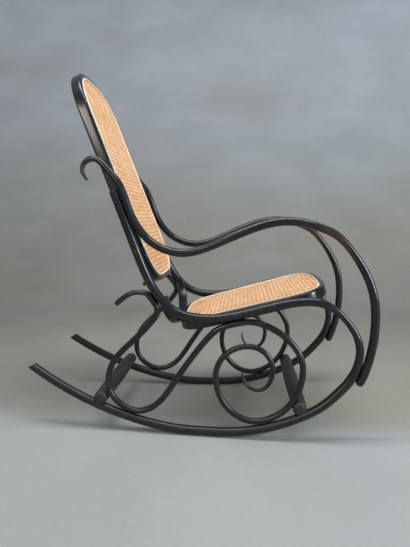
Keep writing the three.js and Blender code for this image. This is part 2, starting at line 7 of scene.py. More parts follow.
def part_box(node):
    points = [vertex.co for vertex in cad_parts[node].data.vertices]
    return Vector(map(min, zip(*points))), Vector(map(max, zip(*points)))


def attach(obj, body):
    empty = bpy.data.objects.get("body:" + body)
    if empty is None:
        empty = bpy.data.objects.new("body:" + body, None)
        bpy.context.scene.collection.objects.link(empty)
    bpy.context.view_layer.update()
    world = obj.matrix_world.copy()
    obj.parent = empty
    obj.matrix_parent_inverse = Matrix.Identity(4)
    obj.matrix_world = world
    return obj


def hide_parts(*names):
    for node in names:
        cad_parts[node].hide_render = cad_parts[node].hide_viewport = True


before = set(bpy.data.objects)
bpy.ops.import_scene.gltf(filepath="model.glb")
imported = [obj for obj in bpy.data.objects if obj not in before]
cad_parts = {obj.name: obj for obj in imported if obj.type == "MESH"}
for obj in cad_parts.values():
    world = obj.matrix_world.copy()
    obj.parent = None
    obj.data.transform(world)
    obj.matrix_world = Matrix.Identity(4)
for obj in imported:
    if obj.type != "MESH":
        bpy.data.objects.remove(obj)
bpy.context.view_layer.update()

# A bentwood rocking chair: bent rods, a cane seat and back, two turned stretchers.
# Lengths are in metres. The sitter faces -Y and the camera stands on the sitter's right, at -X.

print("frame loaded:", len(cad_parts), "nodes")

chairSizes = {
    "frameDepth": 0.993,  # foremost arm centre line to the runner's rear end
    "railRise": 0.389,
    "armRise": 0.606,
    "frontSpan": 0.464,
    "rearSpan": 0.344,
    "backLength": 0.664,  # up the back's slope
    "backLean": radians(21),
    "seatSlope": radians(15),
    "clearance": 0.0003,
}
frameDepth, frontSpan = chairSizes["frameDepth"], chairSizes["frontSpan"]
backLength, clearance = chairSizes["backLength"], chairSizes["clearance"]
splay = asin((frontSpan - chairSizes["rearSpan"]) / 2 / frameDepth)
sideNames = {-1: "right", 1: "left"}


# Meshes from whole arrays

joined = np.concatenate


# Arrays or numbers side by side, as a last axis
def stacked(*parts):
    return np.stack(np.broadcast_arrays(*parts), -1)


def towards(angle):
    return stacked(np.cos(angle), np.sin(angle))


def unit(vectors):
    return vectors / np.linalg.norm(vectors, axis=-1, keepdims=True)


# Faces are blocks of vertex numbers, one block for each number of corners. The volume is the sum
# of the tetrahedra from the origin to each face; where it is negative, every face is turned round.
def addMesh(name, points, faces, attributes=None, smoothBelow=40):
    volume = 0.0
    for block in faces:
        for k in range(1, block.shape[1] - 1):
            a, b, c = points[block[:, 0]], points[block[:, k]], points[block[:, k + 1]]
            volume += np.einsum("ij,ij->", a, np.cross(b, c))
    if volume < 0:
        faces = [block[:, ::-1] for block in faces]
    corners = joined([block.ravel() for block in faces])
    counts = joined([np.full(len(block), block.shape[1]) for block in faces])
    starts = joined([[0], np.cumsum(counts)[:-1]])
    mesh = bpy.data.meshes.new(name)
    mesh.vertices.add(len(points))
    mesh.vertices.foreach_set("co", points.ravel())
    mesh.loops.add(len(corners))
    mesh.loops.foreach_set("vertex_index", corners.astype(np.int32))
    mesh.polygons.add(len(starts))
    mesh.polygons.foreach_set("loop_start", starts.astype(np.int32))
    mesh.update(calc_edges=True)
    mesh.shade_smooth()
    if smoothBelow < 180:
        mesh.set_sharp_from_angle(angle=radians(smoothBelow))
    for key, values in (attributes or {}).items():
        kind, field = ("FLOAT", "value") if values.ndim == 1 else ("FLOAT_VECTOR", "vector")
        mesh.attributes.new(key, kind, "POINT").data.foreach_set(field, values.ravel())
    piece = bpy.data.objects.new(name, mesh)
    bpy.context.scene.collection.objects.link(piece)
    return piece


# A piece of the chair stands for a node and takes its name, in camelCase
def addPiece(node, finish, points, faces, attributes, smoothBelow, part=""):
    first, *words = node.split("_")
    name = first + "".join(word.capitalize() for word in words) + part
    piece = addMesh(name, points, faces, attributes, smoothBelow)
    piece.data.materials.append(finishes[finish])
    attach(piece, "root")
    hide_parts(node)


# A skin over rings of points, grid[ring, side, xyz]: quads between each ring and the next. An
# open row of rings is closed by fans of triangles from a pole in the middle of its first ring
# and of its last.
def addSkin(node, finish, grid, attributes=None, closed=False, smoothBelow=40):
    rings, sides = grid.shape[:2]
    j = np.arange(sides)
    k = (j + 1) % sides
    here = np.arange(rings if closed else rings - 1)[:, None] * sides
    there = (here + sides) % (rings * sides)
    faces = [stacked(here + j, here + k, there + k, there + j).reshape(-1, 4)]
    if not closed:
        pole, last = rings * sides, (rings - 1) * sides
        faces += [stacked(pole, k, j), stacked(pole + 1, last + j, last + k)]
    flat = {}
    for key, values in {"co": grid, **(attributes or {})}.items():
        values = values.reshape(rings, sides, -1)
        poles = [] if closed else [values[0].mean(0), values[-1].mean(0)]
        flat[key] = np.vstack([values.reshape(rings * sides, -1), *poles])
        if values.shape[2] == 1:
            flat[key] = flat[key][:, 0]
    addPiece(node, finish, flat.pop("co"), faces, flat, smoothBelow)


# Shader maths

class Wire:
    # one socket of a shader tree: operators add Math nodes, node() adds any other node
    def __init__(self, tree, socket=None):
        self.tree, self.socket = tree, socket

    def node(self, kind, values=None, output=0, **settings):
        made = self.tree.nodes.new(kind)
        for key, value in settings.items():
            setattr(made, key, value)
        for key, value in (values or {}).items():
            if isinstance(value, Wire):
                self.tree.links.new(value.socket, made.inputs[key])
            else:
                made.inputs[key].default_value = value
        return Wire(self.tree, made.outputs[output])

    def calc(self, operation, *sides):
        return self.node("ShaderNodeMath", dict(enumerate(sides)), operation=operation)

    __add__ = __radd__ = lambda self, other: self.calc("ADD", self, other)
    __sub__ = lambda self, other: self.calc("SUBTRACT", self, other)
    __rsub__ = lambda self, other: self.calc("SUBTRACT", other, self)
    __mul__ = __rmul__ = lambda self, other: self.calc("MULTIPLY", self, other)

    # 0 below low, 1 above high, smooth between them
    def between(self, low, high):
        values = {"Value": self, "From Min": low, "From Max": high}
        return self.node("ShaderNodeMapRange", values, interpolation_type="SMOOTHSTEP")

    # first where the share is 0, second where it is 1
    def mix(self, share, first, second):
        solid = lambda colour: colour if isinstance(colour, Wire) else (*colour, 1)
        values = {0: share, 6: solid(first), 7: solid(second)}
        return self.node("ShaderNodeMix", values, output=2, data_type="RGBA")

    def stretched(self, *scale):
        return self.node("ShaderNodeMapping", {"Vector": self, "Scale": scale})

    def noise(self, scale, detail=3.0):
        return self.node("ShaderNodeTexNoise", {"Vector": self, "Scale": scale, "Detail": detail})

    def cells(self, scale, output):
        return self.node("ShaderNodeTexVoronoi", {"Vector": self, "Scale": scale}, output)

    def red(self):
        return self.node("ShaderNodeSeparateColor", {"Color": self})

    # 0 for x, 1 for y, 2 for z
    def part(self, axis):
        return self.node("ShaderNodeSeparateXYZ", {"Vector": self}, axis)

    def attribute(self, name, output="Fac"):
        return self.node("ShaderNodeAttribute", output=output, attribute_name=name)

    def place(self):
        return self.node("ShaderNodeTexCoord", output="Object")

    def bump(self, height, strength, distance):
        values = {"Height": height, "Strength": strength, "Distance": distance}
        return self.node("ShaderNodeBump", values)


# A material: paint(wire) gives what is linked to its shader, plain values go on the sockets
def newMaterial(name, paint, plain):
    material = bpy.data.materials.new(name)
    material.use_nodes = True
    tree = material.node_tree
    shader = tree.nodes["Principled BSDF"]
    for key, value in plain.items():
        shader.inputs[key].default_value = value
    for key, value in paint(Wire(tree)).items():
        tree.links.new(value.socket, shader.inputs[key])
    return material


# Screen levels from 0 to 255 to the linear values that a shader takes
def screen(*levels):
    c = np.array(levels, float) / 255
    return tuple(float(v) for v in np.where(c <= 0.04045, c / 12.92, ((c + 0.055) / 1.055) ** 2.4))


lacquerLook = {
    "black": screen(9, 8, 9),
    "blueBlack": screen(31, 32, 39),
    "brown": screen(88, 60, 45),
    "bareWood": screen(170, 142, 112),
    "dust": screen(38, 36, 34),
    "dusty": (0.04, 0.46),  # heights between which the dust thins out
    "chips": 44.0,  # cells to a metre, a few of which hold a chip
    "roughness": 0.19,
    "coat": 0.32,
}


# Near-black lacquer, streaked along the bent wood and rubbed brown where the wear attribute and a
# cloudy noise add up. A few cells of a Voronoi pattern are chips down to pale wood. Towards the
# floor it is dusty and dull.
def paintLacquer(wire):
    look = lacquerLook
    grain, wear, place = wire.attribute("grain", "Vector"), wire.attribute("wear"), wire.place()
    streaks = grain.stretched(14, 900, 900).noise(1.0, 4)
    brushed = grain.stretched(8, 230, 230).noise(1.0, 2)
    clouds, fine = place.noise(26.0, 4), place.noise(340.0, 3)
    rub = (wear * 1.2 + clouds * 0.6 + fine * 0.3).between(0.9, 1.3)
    chip = 1 - (place.cells(look["chips"], "Distance") + fine * 0.004).between(0.045, 0.07)
    chip = chip * place.cells(look["chips"], "Color").red().between(0.93, 0.94)
    low = 1 - place.part(2).between(*look["dusty"])
    colour = wire.mix(brushed.between(0.35, 0.7), look["black"], look["blueBlack"])
    colour = wire.mix(low * 0.3, colour, look["dust"])
    colour = wire.mix(rub * (0.4 + streaks * 0.5), colour, look["brown"])
    return {
        "Base Color": wire.mix(chip, colour, look["bareWood"]),
        "Roughness": look["roughness"] + clouds * 0.12 + rub * 0.15 + low * 0.08 + chip * 0.3,
        "Coat Weight": look["coat"] * (1 - rub * 0.8) * (1 - low * 0.6),
        "Normal": wire.bump(streaks * 0.3 + fine * 0.25 + brushed * 0.5 - chip, 0.3, 0.0006),
    }


stainLook = {"dark": screen(32, 29, 25), "light": screen(62, 56, 48), "worn": screen(80, 70, 56)}


# Nearly matt stained wood: long streaks and open pores along the turned bar. Its ends are
# darkened towards black as painted shade, where they sit on the runners
def paintStain(wire):
    look = stainLook
    grain, wear, place = wire.attribute("grain", "Vector"), wire.attribute("wear"), wire.place()
    streaks = grain.stretched(7, 190, 190).noise(1.0, 4)
    pores = grain.stretched(45, 1400, 1400).noise(1.0, 2)
    clouds = place.noise(18.0, 4)
    rub = (wear + clouds * 0.7).between(0.75, 1.2)
    colour = wire.mix(streaks.between(0.3, 0.72), look["dark"], look["light"])
    colour = wire.mix(pores.between(0.56, 0.68) * 0.55, colour, look["dark"])
    colour = wire.mix(rub * 0.6, colour, look["worn"])
    return {
        # painted shade: the bar's ends are darkened towards blue-black
        "Base Color": wire.mix(wire.attribute("ends") * 0.75, colour, lacquerLook["blueBlack"]),
        "Roughness": 0.52 + clouds * 0.16 - rub * 0.06,
        "Normal": wire.bump(streaks * 0.6 - pores.between(0.55, 0.7) * 0.5, 0.4, 0.0007),
    }


caneLook = {
    "pale": screen(253, 227, 188),
    "straw": screen(252, 201, 143),
    "amber": screen(218, 142, 80),
    "node": screen(150, 92, 50),
    "shaded": screen(172, 88, 34),
}


# Split cane: each strand has its own tone, fine fibres and now and then a darker joint, and the
# hue drifts over the panel. Painted shade makes it browner at its edges and where it dips
# under others.
def paintCane(wire):
    look = caneLook
    fibre, tone, place = wire.attribute("fibre", "Vector"), wire.attribute("tone"), wire.place()
    lines = fibre.stretched(30, 2600, 1).noise(1.0, 3)
    joints = fibre.stretched(5, 0.1, 1).noise(1.0, 1)
    clouds, patches = place.noise(7.0, 3), place.noise(52.0, 2)
    colour = wire.mix((tone * 0.7 + clouds * 0.5).between(0.25, 0.95), look["pale"], look["straw"])
    colour = wire.mix((patches + tone * 0.15).between(0.5, 0.75) * 0.5, colour, look["amber"])
    colour = wire.mix(lines.between(0.5, 0.75) * 0.45, colour, look["amber"])
    colour = wire.mix(joints.between(0.72, 0.78) * 0.5, colour, look["node"])
    return {
        # painted shade: browner where the shade attribute is high
        "Base Color": wire.mix(wire.attribute("shade") * 0.9, colour, look["shaded"]),
        "Roughness": 0.42 + lines * 0.2,
        "Coat Weight": 0.25 + tone * 0.1,
        "Normal": wire.bump(lines, 0.25, 0.0002),
    }


# The reed's pale colour is lightened as a painted highlight
reedLook = {"pale": screen(255, 242, 220), "deep": screen(236, 202, 160)}


# The reed that holds the cane: long fibres round the hoop, darker in its hollows. Its pale
# colour is the reed's own, lightened all over as a painted highlight
def paintReed(wire):
    grain, place = wire.attribute("grain", "Vector"), wire.place()
    lines = grain.stretched(24, 1500, 1500).noise(1.0, 3)
    deep = (lines * 0.6 + place.noise(30.0, 3) * 0.5).between(0.35, 0.8)
    return {
        "Base Color": wire.mix(deep, reedLook["pale"], reedLook["deep"]),
        "Roughness": 0.46 + lines * 0.2,
        "Normal": wire.bump(lines, 0.3, 0.0003),
    }


steelLook = {"dark": screen(40, 39, 40), "bright": screen(84, 82, 80), "rust": screen(54, 42, 36)}


# Darkened steel: brighter where it is scratched, with small patches of rust
def paintSteel(wire):
    look, place = steelLook, wire.place()
    scratches = place.stretched(900, 900, 160).noise(1.0, 2)
    patches = place.noise(420.0, 3)
    rust = patches.between(0.55, 0.68)
    colour = wire.mix(scratches.between(0.45, 0.7), look["dark"], look["bright"])
    return {
        "Base Color": wire.mix(rust, colour, look["rust"]),
        "Metallic": 0.95 - rust * 0.75,
        "Roughness": 0.3 + scratches * 0.16 + rust * 0.3,
        "Normal": wire.bump(scratches + patches, 0.25, 0.0002),
    }


gloss = {"Coat Roughness": 0.13, "Specular IOR Level": 0.36}
finishes = {
    "lacquer": newMaterial("blackLacquer", paintLacquer, gloss),
    "stain": newMaterial("stainedWood", paintStain, {"Coat Weight": 0.04}),
    "cane": newMaterial("splitCane", paintCane, {"Coat Roughness": 0.25}),
    "reed": newMaterial("reed", paintReed, {"Coat Weight": 0.3, "Coat Roughness": 0.2}),
    "steel": newMaterial("darkSteel", paintSteel, {}),
}
print("materials made")


# Rods. A row is: share of frameDepth, share of the rise, heading in degrees in a square whose
# sides are those two sizes (0 rearwards, 90 up), share of the rod's radius. A wear spot is: place
# counted in the rod's stations, size, strength, face (1 left, -1 right, 0 all round).
sideRod = {
    "radius": 0.013,
    "topLength": 0.198,
    "topShare": 0.885,
    "foot": (0.657, 1.303),
    "scarf": radians(32),
    "edges": (0.0014, 0.001),
    "step": 0.005,
    "sides": 36,
    "rows": [
        [0.573, 0.941, -114.4, 0.97], [0.464, 0.856, 180, 1], [0.313, 0.929, 143.8, 1],
        [0.17, 1, 180, 0.96], [0.081, 0.884, -109.4, 0.69],  # thinned where it bends most
        [0.038, 0.65, -90, 0.84], [0.074, 0.397, -71.8, 1], [0.158, 0.198, -56.4, 1],
        [0.438, 0, 0, 1], [0.5, 0, 0, 1], [0.764, 0.136, 42.1, 1], [1, 0.45, 60.3, 0.96],
    ],
    "wear": [
        (0, 0.02, 0.25, 0), (10.5, 0.16, 0.45, -1), (6.9, 0.1, 0.45, -1),
        (4.2, 0.12, 0.3, 0), ("end", 0.03, 0.2, 0),
    ],
}
armRod = {
    "radius": 0.012,
    "topShare": 0.92,
    "slit": 0.0012,  # to the upright, where they are closest
    "seat": (7.45, 7.8),  # where it lies along the side rod
    "edges": (0.003, 0.011),
    "step": 0.005,
    "sides": 34,
    # up the slope, ahead of the touching line, heading from the slope, radius
    "hookRows": [
        [0.374, -0.122, -19.3, 0.3], [0.427, -0.127, 20.7, 0.52],
        [0.45, -0.065, 110.7, 0.72], [0.394, -0.027, 161.1, 0.86], [0.299, 0, 175.3, 0.92],
        [0.159, 0.001, 174.1, 0.93], [0.034, 0.041, 146.1, 0.95],
    ],
    "rows": [
        [0.53, 0.855, 180, 0.97], [0.395, 0.926, 145.4, 1], [0.238, 1, 180, 1],
        [0.132, 0.959, -145.8, 0.9], [0.07, 0.871, -115.1, 0.83],
        [0.018, 0.724, -103, 0.95], [0.0025, 0.61, -93, 1],
    ],
    "wear": [
        (0, 0.05, 0.7, 0), (2, 0.05, 0.3, 0), (9, 0.13, 0.45, -1), (10.6, 0.1, 0.75, 1),
        (12.5, 0.1, 0.3, -1), ("end", 0.02, 0.2, 0),
    ],
}
scrollRod = {
    "radius": 0.009,
    "edges": (0.0075, 0.0022),
    "step": 0.004,
    "sides": 28,
    "seats": {"hook": 1.68, "rear_runner": 11.73, "rail": 3.62, "front_runner": 9.5},
    "hookTop": [[0.731, 0.936, 114.7, 0.88], [0.659, 1.039, 180, 0.82]],
    "rearLoop": [
        [0.604, 0.907, -90, 1], [0.615, 0.841, -72.4, 1], [0.666, 0.699, -67.9, 1],
        [0.734, 0.522, -74.1, 1], [0.756, 0.342, -90, 1],
    ],
    "diagonal": [[0.605, 0.198, 112.8, 1], [0.545, 0.409, 105, 1], [0.444, 0.748, 110.7, 1]],
    "frontLoop": [[0.249, 0.756, -119.2, 1], [0.189, 0.496, -90, 1]],
    "spiral": [
        [0.397, 0.182, 69.2, 1], [0.4345, 0.4246, 90, 0.95], [0.34, 0.661, 180, 0.89],
        [0.273, 0.491, -90, 0.8], [0.315, 0.337, 0, 0.6], [0.358, 0.488, 93, 0.28],
    ],
    "wear": [(0, 0.02, 0.45, 0), (1, 0.03, 0.3, 1), (15, 0.08, 0.4, -1), ("end", 0.03, 0.5, 0)],
}
stretcher = {
    "middleRadius": 0.0228,
    "endRadius": 0.017,
    "footRadius": 0.0196,  # its ends, seen round the runner that sinks into them
    "overhang": 0.012,
    "bite": 0.0055,  # how far a runner sinks into its end
    "noseShare": 0.3,
    "blunt": 0.42,
    # the share of each end that is darkened as painted shade
    "darkShare": 1 / 9,  # of its half length
    "places": {"front": 9.1, "rear": 12.1},  # on the side rod
}


# Rows to y, z, heading, radius: the heading's square is stretched to the two sizes
def stations(rows, rise, radius):
    rows = np.array(rows, float)
    angle = np.radians(rows[:, 2])
    heading = np.arctan2(np.sin(angle) * rise, np.cos(angle) * frameDepth)
    return stacked(rows[:, 0] * frameDepth, rows[:, 1] * rise, heading, rows[:, 3] * radius)


# Points of a rod at places counted in its stations. Between two stations it is a cubic whose
# handles are chord / (3 cos(turn / 4) squared), as a circular arc's are.
def course(rows, places):
    places = np.atleast_1d(np.asarray(places, float))
    i = np.clip(places.astype(int), 0, len(rows) - 2)
    t = (places - i)[:, None]
    a, b = rows[i], rows[i + 1]
    turn = np.arctan2(np.sin(b[:, 2] - a[:, 2]), np.cos(b[:, 2] - a[:, 2]))
    chord = np.hypot(b[:, 0] - a[:, 0], b[:, 1] - a[:, 1])
    handle = (chord / (3 * np.cos(turn / 4) ** 2))[:, None]
    p0, p3 = a[:, :2], b[:, :2]
    p1 = p0 + handle * towards(a[:, 2])
    p2 = p3 - handle * towards(b[:, 2])
    s = 1 - t
    point = s**3 * p0 + 3 * s**2 * t * p1 + 3 * s * t**2 * p2 + t**3 * p3
    speed = s**2 * (p1 - p0) + 2 * s * t * (p2 - p1) + t**2 * (p3 - p2)
    ease = t[:, 0] ** 2 * (3 - 2 * t[:, 0])
    radius = a[:, 3] + (b[:, 3] - a[:, 3]) * ease
    return np.column_stack([point, np.arctan2(speed[:, 1], speed[:, 0]), radius])


def lengthAlong(rows):
    return joined([[0], np.cumsum(np.hypot(*np.diff(rows[:, :2], axis=0).T))])


# Rows moved to the left of their headings
def aside(rows, distance):
    moved = np.array(rows, float)
    moved[:, 0] -= distance * np.sin(moved[:, 2])
    moved[:, 1] += distance * np.cos(moved[:, 2])
    return moved


# Rows of a rod that lies beside another one, a clearance apart
def seated(rows, places, radius, side=1):
    at = course(rows, places)
    out = aside(at, side * (at[:, 3] + radius + clearance))
    out[:, 3] = radius
    return out


backLean, rodSize = chairSizes["backLean"], sideRod["radius"]
footPoint = np.array(sideRod["foot"]) * (frameDepth, chairSizes["railRise"])
downSlope, upSlope = -pi / 2 - backLean, pi / 2 - backLean


# A point up the back's slope from the upright's foot and ahead of its centre line
def onBack(up, ahead):
    slope = np.array([sin(backLean), cos(backLean)])
    return footPoint + up * slope + ahead * np.array([-slope[1], slope[0]])


topRow = [*onBack(sideRod["topLength"], 0), downSlope, sideRod["topShare"] * rodSize]
footRow = [*footPoint, downSlope, rodSize]
sideRows = np.vstack([topRow, footRow, stations(sideRod["rows"], chairSizes["railRise"], rodSize)])
armTouch = sideRod["topShare"] * rodSize + armRod["topShare"] * armRod["radius"] + armRod["slit"]


def hookRow(up, ahead, turn, share):
    at = onBack(up * backLength, armTouch + ahead * backLength)
    return [*at, upSlope + radians(turn), share * armRod["radius"]]


def armSeat(place):
    return seated(sideRows, place, armRod["radius"], -1)


def scrollRow(key):
    return stations(scrollRod[key], chairSizes["railRise"], scrollRod["radius"])


def scrollSeat(key, turnRound=0.0):
    return seated(sideRows, scrollRod["seats"][key], scrollRod["radius"]) + [0, 0, turnRound, 0]


armHook = [hookRow(*row) for row in armRod["hookRows"]]
armLine = stations(armRod["rows"], chairSizes["armRise"], armRod["radius"])
armRows = np.vstack([armHook, armLine, armSeat(armRod["seat"][0])])
scrollRows = np.vstack(
    [
        scrollRow("hookTop"), scrollSeat("hook"), scrollRow("rearLoop"),
        scrollSeat("rear_runner", pi), scrollRow("diagonal"), scrollSeat("rail"),
        scrollRow("frontLoop"), scrollSeat("front_runner"), scrollRow("spiral"),
    ]
)
stretcherCentres = {
    key: aside(course(sideRows, place), rodSize + stretcher["endRadius"] - stretcher["bite"])[0]
    for key, place in stretcher["places"].items()
}
low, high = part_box("front_stretcher")
shiftY = (low.y + high.y) / 2 - stretcherCentres["front"][0] * cos(splay)
shiftZ = rodSize


# A point of a side plane in the chair: the plane stands half the front span out, turned inwards
# by the splay
def toChair(side, outward, y, z):
    x = frontSpan / 2 - y * sin(splay) + outward * cos(splay)
    y = y * cos(splay) + outward * sin(splay)
    return stacked(side * x, y + shiftY, z + shiftZ)


# Rings round a course: centre + radius (cos a across + sin a left). An end's edge is a quarter
# round of radius b: its rings stand b sin q along and are b (1 - cos q) smaller. A slanting cut
# moves each point back by left tan(cut), fading in over the last stretch.
def rodGrid(side, rows, sides, edges, cut, fade=0.035, fullest=0.97):
    length = lengthAlong(rows)
    slant = np.clip(1 - (length[-1] - length) / fade, 0, 1) ** 2 * tan(cut)
    state = np.column_stack([rows, length, slant])
    state = state[(length > edges[0]) & (length < length[-1] - edges[1])]
    q = np.linspace(0, pi / 2, 7)
    ends = []
    for row, size, forward in ((state[0], edges[0], -1), (state[-1], edges[1], 1)):
        size = min(size, row[3] * fullest)
        block = np.repeat(row[None], len(q), 0)
        block[:, :2] += forward * size * np.sin(q)[:, None] * towards(row[2])
        block[:, 3] -= size * (1 - np.cos(q))
        block[:, 4] += forward * size * np.sin(q)
        ends.append(block)
    state = np.vstack([ends[0][::-1], state[1:-1], ends[1]])
    y, z, heading, radius, length, slant = (state[:, k][:, None] for k in range(6))
    angle = (np.arange(sides) + 0.5) / sides * 2 * pi
    left, outward = radius * np.sin(angle), radius * np.cos(angle)
    on = -left * slant
    y = y - left * np.sin(heading) + on * np.cos(heading)
    z = z + left * np.cos(heading) + on * np.sin(heading)
    return toChair(side, outward, y, z), stacked(length + on, outward, left)


# A rod has points about a step apart along every stretch between two stations. Wear is a sum of
# soft spots: strength x exp(-(distance along / size) squared), more on one face.
def addRod(side, node, rod, rows, tail=np.empty((0, 4)), arcAllowance=1.1, baseWear=0.12):
    chords = np.hypot(*np.diff(rows[:, :2], axis=0).T)
    counts = np.maximum(8, np.ceil(chords * arcAllowance / rod["step"])).astype(int)
    parts = [i + np.linspace(0, 1, n, endpoint=False) for i, n in enumerate(counts)]
    places = np.append(joined(parts), len(rows) - 1.0)
    fine = np.vstack([course(rows, places), tail])
    length = lengthAlong(fine)
    grid, grain = rodGrid(side, fine, rod["sides"], rod["edges"], rod.get("scarf", 0.0))
    radius = np.hypot(grain[..., 1], grain[..., 2]).max()
    wear = np.full(grain.shape[:2], baseWear)
    for place, size, strength, face in rod["wear"]:
        at = length[-1] if place == "end" else np.interp(place, places, length[: len(places)])
        facing = np.clip(0.5 + 0.5 * face * grain[..., 2] / radius, 0, 1) if face else 1.0
        wear += strength * np.exp(-(((grain[..., 0] - at) / size) ** 2)) * facing
    addSkin(node, "lacquer", grid, {"grain": grain, "wear": np.clip(wear, 0, 1)})


for side, label in sideNames.items():
    addRod(side, label + "_side_rod", sideRod, sideRows)
    addRod(side, label + "_arm_rod", armRod, armRows, armSeat(np.linspace(*armRod["seat"], 20)[1:]))
    addRod(side, label + "_scroll_rod", scrollRod, scrollRows)
print("rods made")


# Hoops, canes and splines
hoopSizes = {
    "thickness": 0.022,
    "round": 0.006,
    "rebateWidth": 0.008,
    "rebateDepth": 0.005,
    "edgeRound": 0.0006,
    "caneThickness": 0.002,
    "splineWidth": 0.0045,
    "splineCrown": 0.0012,  # how far it stands above the hoop
    "splineRounds": (0.0003, 0.0021),  # below and above
}
seatSizes = {
    "depth": 0.456,
    "proud": 0.014,
    "height": 0.032,
    "behindShare": 0.54,
    "bow": 0.02,
    "frontRadius": 0.088,
    "rearRadius": 0.092,
    "arcShare": 0.96,
}
backSizes = {"drop": 0.094, "height": 0.032, "topRadius": 0.128, "footRadius": 0.108}


# Half the width between the side rods' inner faces, at a distance y along a side plane
def innerHalf(y):
    return frontSpan / 2 - y * sin(splay) - rodSize / cos(splay)


# A closed outline of straight edges and round corners [x, y, radius]: each arc's centre stands
# radius / sin(half angle) along the corner's bisector, and the arc turns by pi less the corner
def roundedLoop(corners, turnStep=radians(3), longest=0.012):
    spots = np.array([corner[:2] for corner in corners])
    arcs, filled = [], []
    for i, (*_, radius) in enumerate(corners):
        before = unit(spots[i - 1] - spots[i])
        after = unit(spots[(i + 1) % len(spots)] - spots[i])
        half = acos(before @ after) / 2
        centre = spots[i] + unit(before + after) * radius / sin(half)
        startX, startY = spots[i] + before * radius / tan(half) - centre
        turn = pi - 2 * half
        sense = -np.sign(before[0] * after[1] - before[1] * after[0])
        count = max(2, ceil(turn / turnStep), ceil(turn * radius / longest))
        a = sense * np.linspace(0, turn, count + 1)
        c, s = np.cos(a), np.sin(a)
        arcs.append(centre + stacked(startX * c - startY * s, startX * s + startY * c))
    for i, arc in enumerate(arcs):
        reach = arcs[(i + 1) % len(arcs)][0] - arc[-1]
        count = max(1, ceil(np.linalg.norm(reach) / longest))
        filled += [arc, arc[-1] + np.arange(1, count)[:, None] / count * reach]
    return np.vstack(filled)


# An outline whose bends set in gradually, as in steamed wood: its points are spread evenly, and
# their waves are damped by exp(-(2 pi frequency x ease) squared / 2). Outwards is its tangent
# turned clockwise.
def eased(loop, ease=0.02, step=0.005):
    around = np.vstack([loop, loop[:1]])
    length = lengthAlong(around)
    count = ceil(length[-1] / step)
    at = np.arange(count) * length[-1] / count
    even = stacked(*(np.interp(at, length, around[:, k]) for k in range(2)))
    frequency = np.fft.fftfreq(count, length[-1] / count)
    damping = np.exp(-((2 * pi * frequency * ease) ** 2) / 2)[:, None]
    even = np.fft.ifft(np.fft.fft(even, axis=0) * damping, axis=0).real
    tangent = unit(np.roll(even, -1, 0) - np.roll(even, 1, 0))
    return even, stacked(tangent[:, 1], -tangent[:, 0])


# A section [inwards, height] carried round an outline. The first grain value runs to and fro
# round the loop, so that it meets itself: size x sin(whole turns).
def carried(loop, section, turns=3):
    points, outs = loop
    flat = points[:, None] - outs[:, None] * section[None, :, :1]
    *length, whole = lengthAlong(np.vstack([points, points[:1]]))
    size = whole / (2 * pi * turns)
    along = size * np.sin(np.array(length) / size)[:, None]
    grain = stacked(along, section[:, 0], section[:, 1])
    return joined([flat, grain[..., 2:]], -1), grain


def hoopSection(height):
    size = hoopSizes
    thickness, large, small = size["thickness"], size["round"], size["edgeRound"]
    step, floor = thickness - size["rebateWidth"], height - size["rebateDepth"]
    corners = [[0, 0, large], [0, height, large], [step, height, small], [step, floor, small]]
    corners += [[thickness, floor, small], [thickness, 0, large]]
    return roundedLoop(corners, radians(15), 0.006)


seatOrigin = sideRows[4, :2] + [0, seatSizes["proud"]]  # over the middle of the rail
seatBehind = seatSizes["depth"] * seatSizes["behindShare"]
seatAhead = seatSizes["depth"] - seatBehind
seatSlope = chairSizes["seatSlope"]


# Half width between the rods at a distance down the seat's slope and a height in its frame
def seatHalf(down, height=seatSizes["height"]):
    rearwards = down * cos(seatSlope) + (height - seatSizes["height"]) * sin(seatSlope)
    return innerHalf(seatOrigin[0] + rearwards / cos(splay)) - clearance


# The seat's outline: its front edge is one wide arc between two corners
def seatCorners():
    bow, frontRadius, rearRadius = (seatSizes[key] for key in ("bow", "frontRadius", "rearRadius"))
    front, rear = bow - seatAhead, seatBehind
    half, rearHalf = seatHalf(front), seatHalf(rear)
    slant = atan2(bow, half)
    cornerReach = frontRadius * tan((pi / 2 - slant + splay) / 2)
    arcReach = seatSizes["arcShare"] * (hypot(half, bow) - cornerReach)
    middle = [0, -seatAhead, arcReach / tan(slant)]
    corners = [[-half, front, frontRadius], middle, [half, front, frontRadius]]
    return corners + [[rearHalf, rear, rearRadius], [-rearHalf, rear, rearRadius]]


def backCorners():
    corners = []
    foot, top = -backSizes["drop"], backLength - backSizes["drop"]
    for up, key, first in ((foot, "footRadius", -1), (top, "topRadius", 1)):
        y = onBack(up, backSizes["height"] / 2 - rodSize)[0]
        half = innerHalf(y) - 2 * clearance
        corners += [[side * half, up, backSizes[key]] for side in (first, -first)]
    return corners


# A flat frame's way into the chair: turned about x by the tilt, then moved to its origin
def frameAt(origin, tilt, drop=0.0):
    c, s = cos(tilt), sin(tilt)
    originY, originZ = origin[0] * cos(splay) + shiftY, origin[1] + shiftZ

    def toPlace(points):
        x, y, z = points[..., 0], points[..., 1], points[..., 2] - drop
        return stacked(x, originY + y * c - z * s, originZ + y * s + z * c)

    return toPlace


seatToChair = frameAt(seatOrigin, -seatSlope, seatSizes["height"])
backToChair = frameAt(onBack(0, -rodSize), pi / 2 - backLean)


caneSizes = {
    "pitch": 0.0127,  # from pair to pair
    "pairShare": 0.17,  # half the distance between the two strands of a pair, of the pitch
    "width": 0.0025,
    "crown": 0.0016,
    "thickness": 0.0009,
    "lift": 0.00055,  # a strand above or below the middle at a crossing
    "shortest": 0.008,
    "hidden": 0.0007,  # from the rebate's wall to a strand's end
    "endGap": 0.0004,  # no sample is closer to an end
}


